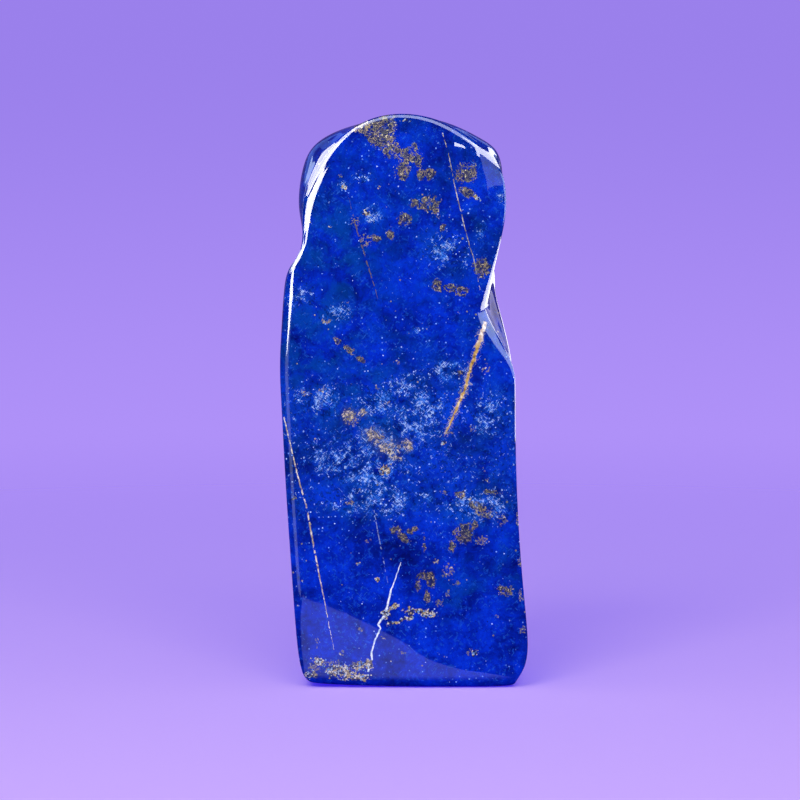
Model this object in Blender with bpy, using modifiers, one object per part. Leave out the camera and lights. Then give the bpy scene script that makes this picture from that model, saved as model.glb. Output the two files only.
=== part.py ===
"""A polished lapis lazuli freeform: one tall slab of blue rock that stands on a ground flat base.

The stone is a coarse cage under a Subdivision Surface. The cage starts as a cube that is cut into
a grid, five spaces across, three deep and seventeen high, and each grid point is moved to the
place that the outlines below give it. Lengths are in millimetres, x to the right, y to the back,
z up, with the origin under the middle of the stone.
"""

import bpy
import bmesh
from mathutils import Vector

MM = 0.001
NAME = "lapis_lazuli_freeform"

# The grid of the cage.
ACROSS = 5
DEEP = 3
HIGH = 17
SUBDIVISIONS = 2
FIT_PASSES = 2
CORNER_SHARPNESS = 0.5

# Outlines, one (x, z) point for each grid row, from just above the base to just under the top.
# The side outlines are the outermost line of the stone, seen from the front.
LEFT_SIDE = [
    (-32.3, 4.0), (-34.0, 12.0), (-35.7, 35.0), (-37.4, 60.0), (-38.7, 84.0), (-39.5, 99.0),
    (-39.3, 108.0), (-38.8, 117.0), (-38.3, 124.0), (-37.4, 129.5), (-35.2, 133.6),
    (-32.1, 137.6), (-32.1, 142.8), (-33.6, 150.0), (-33.4, 157.5), (-32.2, 163.5),
]
RIGHT_SIDE = [
    (37.2, 4.6), (39.6, 13.0), (37.3, 34.0), (35.6, 59.0), (34.9, 81.0), (34.2, 94.5),
    (34.2, 102.0), (32.5, 111.5), (30.7, 118.5), (28.7, 126.6), (29.1, 131.4),
    (27.3, 136.4), (27.2, 142.0), (30.1, 148.5), (31.0, 156.0), (31.1, 162.5),
]
# The face edges are where the flat polished front starts to turn towards the sides.
LEFT_FACE_EDGE = [
    (-28.6, 4.0), (-30.6, 12.0), (-32.5, 35.0), (-34.2, 60.0), (-35.4, 84.0), (-36.0, 99.0),
    (-35.6, 108.0), (-35.0, 117.0), (-34.5, 124.0), (-33.7, 129.0), (-32.3, 133.4),
    (-30.6, 138.0), (-29.5, 143.0), (-28.2, 150.5), (-26.2, 158.5), (-22.3, 168.5),
]
RIGHT_FACE_EDGE = [
    (33.8, 4.2), (35.9, 13.0), (34.6, 34.0), (33.0, 59.0), (32.4, 81.0), (32.6, 94.5),
    (31.4, 101.5), (27.6, 108.0), (24.9, 113.5), (23.2, 117.6), (24.2, 122.5),
    (26.4, 130.0), (28.9, 139.0), (30.0, 147.5), (29.9, 156.0), (27.8, 164.4),
]
# The top edge of the face, between its two upper corners, and the crest behind it.
FACE_TOP = [(-10.0, 176.8), (9.0, 176.2)]
CREST = [(-30.4, 171.6), (-20.6, 176.1), (-8.0, 179.2), (9.2, 179.6), (22.5, 174.3), (30.2, 170.6)]
CREST_FALL = 3.0

# The front face leans back a little and is slightly crowned. The back leans forwards.
FRONT_AT_BASE = -21.0
FRONT_LEAN = 0.022
FACE_CROWN = 0.5
BACK_AT_BASE = 19.9
BACK_LEAN = 0.034

# How far behind the face the side begins, for each row: deep where the notch and the wide
# bevel of the upper left corner are, and otherwise a narrow rounded edge.
LEFT_TURN = [5.2, 5.2, 5.2, 5.2, 5.2, 5.2, 5.2, 5.2, 5.2, 5.2, 5.3, 5.5, 6.0, 7.0, 8.2, 9.0]
RIGHT_TURN = [5.6, 5.2, 5.0, 4.8, 4.8, 5.0, 6.5, 9.5, 12.0, 13.5, 12.5, 10.0, 7.0, 5.2, 5.0, 5.0]
TOP_TURN = [9.0, 7.5, 6.0, 5.5, 5.0, 5.0]
ROUND = 0.3
FLAT = 0.46
NARROW_TURN = 6.0
DEEP_TURN = 11.0

# The sides draw in towards the back, where the neck and the notch are worn soft, and where the
# rows of the cage spread out more evenly.
SIDE_SWELL = 0.4
SIDE_TAPER = 2.0
WEAR_REACH = 10.0
WEAR_STEPS = 2
SPREAD = [0.0, 0.0, 0.4, 0.6]

# The rounded edges of the back, the top and the base.
BACK_ROUND = 12.0
BACK_TOP_ROUND = 9.0
BASE_END_INSET = 1.7
BASE_FACE_INSET = 0.9
BASE_MARGIN = 4.2

# The flat spot that the stone stands on stops short of its lower left edge, which lifts a little.
LIFT_SPACING = 11.0
BASE_LIFT = 1.0

# The hidden back was ground in broad passes, which leave a soft ridge from low left to high right.
RIDGE_HEIGHT = 1.8
RIDGE_WIDTH = 0.22
RIDGE_FOOT = 0.3
RIDGE_HEAD = 0.65


def mix(a, b, share):
    """The value or point that lies this share of the way from a to b."""
    return a + (b - a) * share


def front_y(height):
    """Depth of the polished face at this height."""
    return FRONT_AT_BASE + FRONT_LEAN * height


def back_y(height):
    """Depth of the back at this height."""
    return BACK_AT_BASE - BACK_LEAN * height


def edge_fullness(turn):
    """A narrow edge is round; a deep one is ground almost flat."""
    deep = min(max((turn - NARROW_TURN) / (DEEP_TURN - NARROW_TURN), 0.0), 1.0)
    return mix(ROUND, FLAT, deep)


def crown(column):
    """The face stands proudest along its middle columns."""
    return FACE_CROWN if 1 < column < ACROSS - 1 else 0.0


def ridge(column, row):
    """Height of the soft ridge on the back."""
    off = column / ACROSS - mix(RIDGE_FOOT, RIDGE_HEAD, row / HIGH)
    return RIDGE_HEIGHT / (1.0 + (off / RIDGE_WIDTH) ** 2)


def outline_x(outline, height):
    """How far out the outline is at this height."""
    if height <= outline[0][1]:
        return outline[0][0]
    for (x0, z0), (x1, z1) in zip(outline, outline[1:]):
        if height <= z1:
            return mix(x0, x1, (height - z0) / (z1 - z0))
    return outline[-1][0]


def worn_x(outline, height):
    """The outline further back, where the polishing wore its hollows and bumps away."""
    steps = range(-WEAR_STEPS, WEAR_STEPS + 1)
    near = [outline_x(outline, height + WEAR_REACH * step / WEAR_STEPS) for step in steps]
    return sum(near) / len(near)


def spread_height(outline, row, layer):
    """Height of a row of the cage in this layer."""
    lowest, highest = outline[0][1], outline[-1][1]
    even = mix(lowest, highest, (row - 1) / (HIGH - 2))
    return mix(outline[row - 1][1], even, SPREAD[layer])


def side_point(column, layer, row):
    """A point on the left or right side, on one of the upright rows."""
    on_left = column == 0
    side = Vector((LEFT_SIDE if on_left else RIGHT_SIDE)[row - 1])
    edge = Vector((LEFT_FACE_EDGE if on_left else RIGHT_FACE_EDGE)[row - 1])
    turn = (LEFT_TURN if on_left else RIGHT_TURN)[row - 1]
    inward = 1.0 if on_left else -1.0
    if layer == 0:
        share = edge_fullness(turn)
        x, z = mix(side, edge, share)
        return Vector((x, front_y(z) + turn * share, z))
    x, z = side
    if layer == 1:
        return Vector((x + inward * SIDE_SWELL, front_y(z) + turn, z))
    outline = LEFT_SIDE if on_left else RIGHT_SIDE
    z = spread_height(outline, row, layer)
    x = worn_x(outline, z) + inward * SIDE_TAPER
    if layer == 2:
        return Vector((x, back_y(z) - BACK_ROUND, z))
    return Vector((x + inward * BACK_ROUND * ROUND, back_y(z) - BACK_ROUND * ROUND, z))


def face_point(column, row):
    """A point on the polished front, on one of the upright rows."""
    left = Vector(LEFT_FACE_EDGE[row - 1])
    right = Vector(RIGHT_FACE_EDGE[row - 1])
    if row == HIGH - 1 and 1 < column < ACROSS - 1:
        x, z = FACE_TOP[column - 2]
    else:
        x, z = mix(left, right, (column - 1) / (ACROSS - 2))
    return Vector((x, front_y(z) - crown(column), z))


def back_point(column, row):
    """A point on the hidden back, on one of the upright rows."""
    left_height, right_height = (spread_height(side, row, DEEP) for side in (LEFT_SIDE, RIGHT_SIDE))
    left = Vector((worn_x(LEFT_SIDE, left_height) + BACK_ROUND, left_height))
    right = Vector((worn_x(RIGHT_SIDE, right_height) - BACK_ROUND, right_height))
    x, z = mix(left, right, (column - 1) / (ACROSS - 2))
    if row == HIGH - 1:
        z = CREST[column][1] - CREST_FALL - BACK_TOP_ROUND
    return Vector((x, back_y(z) + ridge(column, row), z))


def top_point(column, layer):
    """A point on the crest, or on the rounded edge around it."""
    x, z = CREST[column]
    z -= CREST_FALL * layer / DEEP
    if column in (0, ACROSS) and layer > 1:
        x -= SIDE_TAPER if x > 0.0 else -SIDE_TAPER
    front = front_y(z)
    back = back_y(z)
    turn = TOP_TURN[column]
    if layer == 1:
        return Vector((x, front + turn, z))
    if layer == 2:
        return Vector((x, back - BACK_ROUND, z))
    below = stone_point(column, layer, HIGH - 1)
    share = edge_fullness(turn) if layer == 0 else ROUND
    y = front + turn * share if layer == 0 else back - BACK_TOP_ROUND * share
    return Vector((mix(x, below.x, share), y, mix(z, below.z, share)))


def base_point(column, layer):
    """A point on the underside, which is flat except where it lifts towards the left."""
    rightwards = 1.0 if column >= ACROSS - 1 else -1.0
    backwards = 1.0 if layer > DEEP // 2 else -1.0
    if column in (0, ACROSS) or layer in (0, DEEP):
        above = stone_point(column, layer, 1)
        x, y = above.x, above.y
        if column in (0, ACROSS):
            x -= rightwards * BASE_END_INSET
        if layer in (0, DEEP):
            y -= backwards * BASE_FACE_INSET
    else:
        corner = stone_point(ACROSS if rightwards > 0.0 else 0, DEEP if backwards > 0.0 else 0, 1)
        inset = LIFT_SPACING * (column - 1) if column in (2, 3) else BASE_MARGIN
        x = corner.x - rightwards * inset
        y = corner.y - backwards * BASE_MARGIN
    lift = BASE_LIFT if column < 2 else BASE_LIFT / 2 if (column, layer) == (2, 0) else 0.0
    return Vector((x, y, lift))


def stone_point(column, layer, row):
    """The place in the stone of one grid point of the cube."""
    if row == 0:
        return base_point(column, layer)
    if row == HIGH:
        return top_point(column, layer)
    if column in (0, ACROSS):
        return side_point(column, layer, row)
    if layer == 0:
        return face_point(column, row)
    return back_point(column, row)


def gridded_cube():
    """A unit cube with its corner at the origin, cut into the grid of the cage."""
    cage = bmesh.new()
    bmesh.ops.create_cube(cage, size=1.0)
    bmesh.ops.translate(cage, vec=(0.5, 0.5, 0.5), verts=cage.verts)
    for axis, spaces in enumerate((ACROSS, DEEP, HIGH)):
        for cut in range(1, spaces):
            place = Vector((0.0, 0.0, 0.0))
            place[axis] = cut / spaces
            normal = Vector((0.0, 0.0, 0.0))
            normal[axis] = 1.0
            everything = cage.verts[:] + cage.edges[:] + cage.faces[:]
            bmesh.ops.bisect_plane(cage, geom=everything, dist=1e-6, plane_co=place,
                                   plane_no=normal)
    return cage


def neighbours(vert):
    """The cage points one edge away from this one, and those across its faces."""
    near = [edge.other_vert(vert) for edge in vert.link_edges]
    far = [other for face in vert.link_faces for other in face.verts
           if other is not vert and other not in near]
    return near, far


def settled_place(vert):
    """Where the Subdivision Surface will draw this cage point to."""
    near, far = neighbours(vert)
    count = len(near)
    total = count * count * vert.co
    total += 4.0 * sum((other.co for other in near), Vector())
    total += sum((other.co for other in far), Vector())
    return total / (count * (count + 5))


def corner_place(corner):
    """A corner of the cage, between its worn-down place and its sharp one."""
    near, far = neighbours(corner)
    near_sum = sum((other.co for other in near), Vector())
    far_sum = sum((other.co for other in far), Vector())
    worn = near_sum / len(near)
    sharp = (2.0 * near_sum - far_sum) / len(near)
    return mix(worn, sharp, CORNER_SHARPNESS)


def fit_cage(cage, goals, underside):
    """Move the cage outwards until the smooth skin passes through the places that were set.

    The underside stays as it is, so that its middle is flat. The eight corners follow their
    neighbours, and these are left as they are too, because corners wear down the most.
    """
    corners = [vert for vert in cage.verts if len(vert.link_edges) == 3]
    worn = {vert for corner in corners for vert in neighbours(corner)[0]}
    fitted = [vert for vert in cage.verts
              if vert not in corners and vert not in worn and vert not in underside]
    for _ in range(FIT_PASSES):
        for corner in corners:
            corner.co = corner_place(corner)
        steps = {vert: goals[vert] - settled_place(vert) for vert in fitted}
        for vert, step in steps.items():
            vert.co += step


def build_stone(collection):
    """Shape the cube's grid into the stone and round it with a Subdivision Surface."""
    cage = gridded_cube()
    goals = {}
    underside = set()
    for vert in cage.verts:
        column, layer, row = (round(value * spaces) for value, spaces
                              in zip(vert.co, (ACROSS, DEEP, HIGH)))
        goals[vert] = stone_point(column, layer, row) * MM
        vert.co = goals[vert]
        if row == 0:
            underside.add(vert)
    fit_cage(cage, goals, underside)

    mesh = bpy.data.meshes.new(NAME)
    cage.to_mesh(mesh)
    cage.free()
    mesh.shade_smooth()
    stone = bpy.data.objects.new(NAME, mesh)
    collection.objects.link(stone)
    rounding = stone.modifiers.new("Rounding", "SUBSURF")
    rounding.levels = SUBDIVISIONS
    rounding.render_levels = SUBDIVISIONS
    return stone


def polished_lapis():
    """Deep ultramarine rock with a glossy hand polish."""
    material = bpy.data.materials.new("polished_lapis")
    material.use_nodes = True
    shader = material.node_tree.nodes["Principled BSDF"]
    shader.inputs["Base Color"].default_value = (0.003, 0.018, 0.40, 1.0)
    shader.inputs["Roughness"].default_value = 0.08
    shader.inputs["Metallic"].default_value = 0.0
    return material


def main():
    """Clear the scene and make the stone."""
    for old in list(bpy.data.objects):
        bpy.data.objects.remove(old, do_unlink=True)
    collection = bpy.data.collections.new("Lapis lazuli freeform")
    bpy.context.scene.collection.children.link(collection)
    stone = build_stone(collection)
    stone.data.materials.append(polished_lapis())


main()
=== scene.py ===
# %% [markdown]
# A polished lapis lazuli freeform
#
# This lesson gives one real object its looks: a tall piece of lapis lazuli that was ground by
# hand on soft wheels and then polished. Its shape is simple. Nearly everything that the eye
# enjoys is in the rock, which is painted here with nodes: blue clouds, pale specks, brassy
# pyrite, thin healed cracks and a crust of calcite.

# %% Load the frame
import math

import bpy
import bmesh
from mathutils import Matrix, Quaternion, Vector


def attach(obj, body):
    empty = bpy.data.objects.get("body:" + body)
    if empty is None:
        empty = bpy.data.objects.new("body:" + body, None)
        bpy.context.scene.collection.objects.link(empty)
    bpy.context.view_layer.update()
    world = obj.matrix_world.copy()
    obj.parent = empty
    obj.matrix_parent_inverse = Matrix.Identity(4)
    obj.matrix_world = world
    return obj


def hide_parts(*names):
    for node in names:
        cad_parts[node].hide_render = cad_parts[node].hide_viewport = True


NODE = "lapis_lazuli_freeform"
MM = 0.001
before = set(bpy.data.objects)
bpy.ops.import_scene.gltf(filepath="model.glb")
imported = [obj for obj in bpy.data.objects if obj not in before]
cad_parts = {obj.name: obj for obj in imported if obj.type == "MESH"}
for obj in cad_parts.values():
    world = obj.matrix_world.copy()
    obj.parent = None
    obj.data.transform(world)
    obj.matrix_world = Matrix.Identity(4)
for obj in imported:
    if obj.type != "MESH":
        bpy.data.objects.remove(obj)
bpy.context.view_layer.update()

# %% [markdown]
# The camera first
#
# The photograph was taken from a little over a metre away with a long lens, slightly from above.
# A long lens keeps the stone's sides nearly parallel. Placing the camera first means that every
# later step can be judged through it.

# %% The camera
CAMERA_DISTANCE = 1100.0
CAMERA_TILT = math.radians(4.5)
LOOKED_AT = Vector((-1.35, 0.0, 89.4))
FIELD_WIDTH = 255.0


def new_object(name, data):
    """An object with this data, linked into the scene."""
    thing = bpy.data.objects.new(name, data)
    bpy.context.scene.collection.objects.link(thing)
    return thing


def make_camera():
    """A long lens that frames a field this wide at the stone."""
    data = bpy.data.cameras.new("camera")
    data.sensor_width = 36.0
    data.lens = data.sensor_width * CAMERA_DISTANCE / FIELD_WIDTH
    data.clip_start = 0.01
    data.clip_end = 50.0
    camera = new_object("camera", data)
    back = Vector((0.0, -math.cos(CAMERA_TILT), math.sin(CAMERA_TILT)))
    camera.location = (LOOKED_AT + back * CAMERA_DISTANCE) * MM
    camera.rotation_mode = "QUATERNION"
    camera.rotation_quaternion = (-back).to_track_quat("-Z", "Y")
    bpy.context.scene.camera = camera
    return camera


camera = make_camera()
print("lens", round(camera.data.lens, 1), "mm at", [round(v, 3) for v in camera.location])

# %% [markdown]
# The outlines of the stone
#
# A freeform has no straight lines, but it does have a few leading ones: its outermost line at
# each side, and the line where the flat polished face starts to turn away. They are kept as
# short lists of points from the base to the top, in millimetres, the same ones that the solid
# was built from. A finer skin is then drawn over them.

# %% The leading lines
ACROSS = 5
DEEP = 3
HIGH = 17

LEFT_SIDE = [
    (-32.3, 4.0), (-34.0, 12.0), (-35.7, 35.0), (-37.4, 60.0), (-38.7, 84.0), (-39.5, 99.0),
    (-39.3, 108.0), (-38.8, 117.0), (-38.3, 124.0), (-37.4, 129.5), (-35.2, 133.6),
    (-32.1, 137.6), (-32.1, 142.8), (-33.6, 150.0), (-33.4, 157.5), (-32.2, 163.5),
]
RIGHT_SIDE = [
    (37.2, 4.6), (39.6, 13.0), (37.3, 34.0), (35.6, 59.0), (34.9, 81.0), (34.2, 94.5),
    (34.2, 102.0), (32.5, 111.5), (30.7, 118.5), (28.7, 126.6), (29.1, 131.4),
    (27.3, 136.4), (27.2, 142.0), (30.1, 148.5), (31.0, 156.0), (31.1, 162.5),
]

LEFT_FACE_EDGE = [
    (-28.6, 4.0), (-30.6, 12.0), (-32.5, 35.0), (-34.2, 60.0), (-35.4, 84.0), (-36.0, 99.0),
    (-35.6, 108.0), (-35.0, 117.0), (-34.5, 124.0), (-33.7, 129.0), (-32.3, 133.4),
    (-30.6, 138.0), (-29.5, 143.0), (-28.2, 150.5), (-26.2, 158.5), (-22.3, 168.5),
]
RIGHT_FACE_EDGE = [
    (33.8, 4.2), (35.9, 13.0), (34.6, 34.0), (33.0, 59.0), (32.4, 81.0), (32.6, 94.5),
    (31.4, 101.5), (27.6, 108.0), (24.9, 113.5), (23.2, 117.6), (24.2, 122.5),
    (26.4, 130.0), (28.9, 139.0), (30.0, 147.5), (29.9, 156.0), (27.8, 164.4),
]

FACE_TOP = [(-10.0, 176.8), (9.0, 176.2)]
CREST = [(-30.4, 171.6), (-20.6, 176.1), (-8.0, 179.2), (9.2, 179.6), (22.5, 174.3), (30.2, 170.6)]
LEFT_TURN = [5.2, 5.2, 5.2, 5.2, 5.2, 5.2, 5.2, 5.2, 5.2, 5.2, 5.3, 5.5, 6.0, 7.0, 8.2, 9.0]
RIGHT_TURN = [5.6, 5.2, 5.0, 4.8, 4.8, 5.0, 6.5, 9.5, 12.0, 13.5, 12.5, 10.0, 7.0, 5.2, 5.0, 5.0]
TOP_TURN = [9.0, 7.5, 6.0, 5.5, 5.0, 5.0]
print(len(LEFT_SIDE), "rows of leading points on each side")

# %% [markdown]
# Depth and rounding
#
# The face leans back a little and the back leans forwards, so the stone is thinner at the top.
# Narrow edges are round and deep ones are ground almost flat. Towards the back the hollows in
# the sides are worn away, so the outline is taken as a mean over a few heights there.

# %% Depth and rounding
FRONT_AT_BASE = -21.0
FRONT_LEAN = 0.022
FACE_CROWN = 0.5
BACK_AT_BASE = 19.9
BACK_LEAN = 0.034
ROUND = 0.3
FLAT = 0.46
NARROW_TURN = 6.0
DEEP_TURN = 11.0
SIDE_SWELL = 0.4
SIDE_TAPER = 2.0
WEAR_REACH = 10.0
WEAR_STEPS = 2
SPREAD = [0.0, 0.0, 0.4, 0.6]
BACK_ROUND = 12.0
BACK_TOP_ROUND = 9.0
CREST_FALL = 3.0
RIDGE_HEIGHT = 1.8
RIDGE_WIDTH = 0.22
RIDGE_FOOT = 0.3
RIDGE_HEAD = 0.65


def mix(a, b, share):
    """The value or point that lies this share of the way from a to b."""
    return a + (b - a) * share


def front_y(height):
    """Depth of the polished face at this height."""
    return FRONT_AT_BASE + FRONT_LEAN * height


def back_y(height):
    """Depth of the back at this height."""
    return BACK_AT_BASE - BACK_LEAN * height


def edge_fullness(turn):
    """A narrow edge is round; a deep one is ground almost flat."""
    deep = min(max((turn - NARROW_TURN) / (DEEP_TURN - NARROW_TURN), 0.0), 1.0)
    return mix(ROUND, FLAT, deep)


def crown(column):
    """The face stands proudest along its middle columns."""
    return FACE_CROWN if 1 < column < ACROSS - 1 else 0.0


def ridge(column, row):
    """Height of the soft ridge on the back."""
    off = column / ACROSS - mix(RIDGE_FOOT, RIDGE_HEAD, row / HIGH)
    return RIDGE_HEIGHT / (1.0 + (off / RIDGE_WIDTH) ** 2)


def outline_x(outline, height):
    """How far out the outline is at this height."""
    if height <= outline[0][1]:
        return outline[0][0]
    for (x0, z0), (x1, z1) in zip(outline, outline[1:]):
        if height <= z1:
            return mix(x0, x1, (height - z0) / (z1 - z0))
    return outline[-1][0]


def worn_x(outline, height):
    """The outline further back, where the polishing wore its hollows and bumps away."""
    steps = range(-WEAR_STEPS, WEAR_STEPS + 1)
    near = [outline_x(outline, height + WEAR_REACH * step / WEAR_STEPS) for step in steps]
    return sum(near) / len(near)


def spread_height(outline, row, layer):
    """Height of a row of the cage in this layer."""
    lowest, highest = outline[0][1], outline[-1][1]
    even = mix(lowest, highest, (row - 1) / (HIGH - 2))
    return mix(outline[row - 1][1], even, SPREAD[layer])


print("the face runs from y", front_y(0.0), "to", round(front_y(CREST[-1][1]), 1))

# %% [markdown]
# Where each grid point goes
#
# The stone is described as a grid of points, numbered by column, layer and row. Each function
# below places the points of one region: the sides, the face, the back, the top and the base.
# The base is flat except at the left, where it lifts by a millimetre.

# %% The upright surfaces
def side_point(column, layer, row):
    """A point on the left or right side, on one of the upright rows."""
    on_left = column == 0
    side = Vector((LEFT_SIDE if on_left else RIGHT_SIDE)[row - 1])
    edge = Vector((LEFT_FACE_EDGE if on_left else RIGHT_FACE_EDGE)[row - 1])
    turn = (LEFT_TURN if on_left else RIGHT_TURN)[row - 1]
    inward = 1.0 if on_left else -1.0
    if layer == 0:
        share = edge_fullness(turn)
        x, z = mix(side, edge, share)
        return Vector((x, front_y(z) + turn * share, z))
    x, z = side
    if layer == 1:
        return Vector((x + inward * SIDE_SWELL, front_y(z) + turn, z))
    outline = LEFT_SIDE if on_left else RIGHT_SIDE
    z = spread_height(outline, row, layer)
    x = worn_x(outline, z) + inward * SIDE_TAPER
    if layer == 2:
        return Vector((x, back_y(z) - BACK_ROUND, z))
    return Vector((x + inward * BACK_ROUND * ROUND, back_y(z) - BACK_ROUND * ROUND, z))


def face_point(column, row):
    """A point on the polished front, on one of the upright rows."""
    left = Vector(LEFT_FACE_EDGE[row - 1])
    right = Vector(RIGHT_FACE_EDGE[row - 1])
    if row == HIGH - 1 and 1 < column < ACROSS - 1:
        x, z = FACE_TOP[column - 2]
    else:
        x, z = mix(left, right, (column - 1) / (ACROSS - 2))
    return Vector((x, front_y(z) - crown(column), z))


def back_point(column, row):
    """A point on the hidden back, on one of the upright rows."""
    left_height, right_height = (spread_height(side, row, DEEP) for side in (LEFT_SIDE, RIGHT_SIDE))
    left = Vector((worn_x(LEFT_SIDE, left_height) + BACK_ROUND, left_height))
    right = Vector((worn_x(RIGHT_SIDE, right_height) - BACK_ROUND, right_height))
    x, z = mix(left, right, (column - 1) / (ACROSS - 2))
    if row == HIGH - 1:
        z = CREST[column][1] - CREST_FALL - BACK_TOP_ROUND
    return Vector((x, back_y(z) + ridge(column, row), z))


print("three upright surfaces")

# %% The top and the base
BASE_END_INSET = 1.7
BASE_FACE_INSET = 0.9
BASE_MARGIN = 4.2
LIFT_SPACING = 11.0
BASE_LIFT = 1.0


def top_point(column, layer):
    """A point on the crest, or on the rounded edge around it."""
    x, z = CREST[column]
    z -= CREST_FALL * layer / DEEP
    if column in (0, ACROSS) and layer > 1:
        x -= SIDE_TAPER if x > 0.0 else -SIDE_TAPER
    front = front_y(z)
    back = back_y(z)
    turn = TOP_TURN[column]
    if layer == 1:
        return Vector((x, front + turn, z))
    if layer == 2:
        return Vector((x, back - BACK_ROUND, z))
    below = stone_point(column, layer, HIGH - 1)
    share = edge_fullness(turn) if layer == 0 else ROUND
    y = front + turn * share if layer == 0 else back - BACK_TOP_ROUND * share
    return Vector((mix(x, below.x, share), y, mix(z, below.z, share)))


def base_point(column, layer):
    """A point on the underside, which is flat except where it lifts towards the left."""
    rightwards = 1.0 if column >= ACROSS - 1 else -1.0
    backwards = 1.0 if layer > DEEP // 2 else -1.0
    if column in (0, ACROSS) or layer in (0, DEEP):
        above = stone_point(column, layer, 1)
        x, y = above.x, above.y
        if column in (0, ACROSS):
            x -= rightwards * BASE_END_INSET
        if layer in (0, DEEP):
            y -= backwards * BASE_FACE_INSET
    else:
        corner = stone_point(ACROSS if rightwards > 0.0 else 0, DEEP if backwards > 0.0 else 0, 1)
        inset = LIFT_SPACING * (column - 1) if column in (2, 3) else BASE_MARGIN
        x = corner.x - rightwards * inset
        y = corner.y - backwards * BASE_MARGIN
    lift = BASE_LIFT if column < 2 else BASE_LIFT / 2 if (column, layer) == (2, 0) else 0.0
    return Vector((x, y, lift))


def stone_point(column, layer, row):
    """The place in the stone of one grid point of the cube."""
    if row == 0:
        return base_point(column, layer)
    if row == HIGH:
        return top_point(column, layer)
    if column in (0, ACROSS):
        return side_point(column, layer, row)
    if layer == 0:
        return face_point(column, row)
    return back_point(column, row)


print("the corner of the base is near", [round(v, 1) for v in stone_point(ACROSS, 0, 1)])

# %% [markdown]
# From a cube to a cage
#
# A Subdivision Surface rounds a coarse cage, which suits a stone that was ground on soft wheels.
# The cage is a cube cut by planes into a grid, so no face is listed by hand. Each grid point
# then moves to its place in the stone.

# %% Cut the cube
def gridded_cube():
    """A unit cube with its corner at the origin, cut into the grid of the cage."""
    cage = bmesh.new()
    bmesh.ops.create_cube(cage, size=1.0)
    bmesh.ops.translate(cage, vec=(0.5, 0.5, 0.5), verts=cage.verts)
    for axis, spaces in enumerate((ACROSS, DEEP, HIGH)):
        for cut in range(1, spaces):
            place = Vector((0.0, 0.0, 0.0))
            place[axis] = cut / spaces
            normal = Vector((0.0, 0.0, 0.0))
            normal[axis] = 1.0
            everything = cage.verts[:] + cage.edges[:] + cage.faces[:]
            bmesh.ops.bisect_plane(cage, geom=everything, dist=1e-6, plane_co=place,
                                   plane_no=normal)
    return cage


cage = gridded_cube()
print("the cage has", len(cage.verts), "points and", len(cage.faces), "faces")

# %% [markdown]
# Fit the skin and not the cage
#
# A Subdivision Surface shrinks away from its cage, so a cage on the outlines would give a stone
# that is too small. Two passes push each point out by the distance that the skin misses its
# goal. The eight corners and their neighbours are left out, because corners wear down the most.

# %% Fit the cage
FIT_PASSES = 2
CORNER_SHARPNESS = 0.5


def neighbours(vert):
    """The cage points one edge away from this one, and those across its faces."""
    near = [edge.other_vert(vert) for edge in vert.link_edges]
    far = [other for face in vert.link_faces for other in face.verts
           if other is not vert and other not in near]
    return near, far


def settled_place(vert):
    """Where the Subdivision Surface will draw this cage point to."""
    near, far = neighbours(vert)
    count = len(near)
    total = count * count * vert.co
    total += 4.0 * sum((other.co for other in near), Vector())
    total += sum((other.co for other in far), Vector())
    return total / (count * (count + 5))


def corner_place(corner):
    """A corner of the cage, between its worn-down place and its sharp one."""
    near, far = neighbours(corner)
    near_sum = sum((other.co for other in near), Vector())
    far_sum = sum((other.co for other in far), Vector())
    worn = near_sum / len(near)
    sharp = (2.0 * near_sum - far_sum) / len(near)
    return mix(worn, sharp, CORNER_SHARPNESS)


def fit_cage(cage, goals, underside):
    """Move the cage outwards until the smooth skin passes through the places that were set.

    The underside stays as it is, so that its middle is flat. The eight corners follow their
    neighbours, and these are left as they are too, because corners wear down the most.
    """
    corners = [vert for vert in cage.verts if len(vert.link_edges) == 3]
    worn = {vert for corner in corners for vert in neighbours(corner)[0]}
    fitted = [vert for vert in cage.verts
              if vert not in corners and vert not in worn and vert not in underside]
    for _ in range(FIT_PASSES):
        for corner in corners:
            corner.co = corner_place(corner)
        steps = {vert: goals[vert] - settled_place(vert) for vert in fitted}
        for vert, step in steps.items():
            vert.co += step


def place_cage(cage):
    """Move the grid points to their places in the stone and fit the skin to them."""
    goals = {}
    underside = set()
    for vert in cage.verts:
        column, layer, row = (round(value * spaces) for value, spaces
                              in zip(vert.co, (ACROSS, DEEP, HIGH)))
        goals[vert] = stone_point(column, layer, row) * MM
        if row == 0:
            underside.add(vert)
    for vert, goal in goals.items():
        vert.co = goal
    fit_cage(cage, goals, underside)


place_cage(cage)
print("cage volume", round(cage.calc_volume() * 1e6, 1), "cm3")

# %% [markdown]
# The stone
#
# The cage becomes a mesh, and the Subdivision Surface draws a skin over it that is fine enough
# for clean mirror lines in the polish. The piece stands for the plain solid.

# %% Make the stone
SKIN_LEVELS = 4


def make_stone(cage):
    """The fitted cage as a smooth piece that replaces the plain solid."""
    mesh = bpy.data.meshes.new("cage")
    cage.to_mesh(mesh)
    cage.free()
    mesh.shade_smooth()
    stone = new_object("lapis_freeform", mesh)
    rounding = stone.modifiers.new("Rounding", "SUBSURF")
    rounding.levels = rounding.render_levels = SKIN_LEVELS
    drawn = stone.evaluated_get(bpy.context.evaluated_depsgraph_get())
    skin = bpy.data.meshes.new_from_object(drawn)
    stone.modifiers.clear()
    stone.data = skin
    skin.name = "lapis_freeform"
    bpy.data.meshes.remove(mesh)
    return stone


stone = make_stone(cage)
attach(stone, "root")
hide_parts(NODE)
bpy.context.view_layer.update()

# %% [markdown]
# Small helpers for nodes
#
# A shader is easier to read when each node is one call. `add` makes a node and plugs values or
# links into it. The others are short names for the nodes that the rock needs most. Sizes are in
# millimetres. The two numbers behind a value are where a soft step starts and where it ends, and
# a colour is given as linear light.

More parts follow.
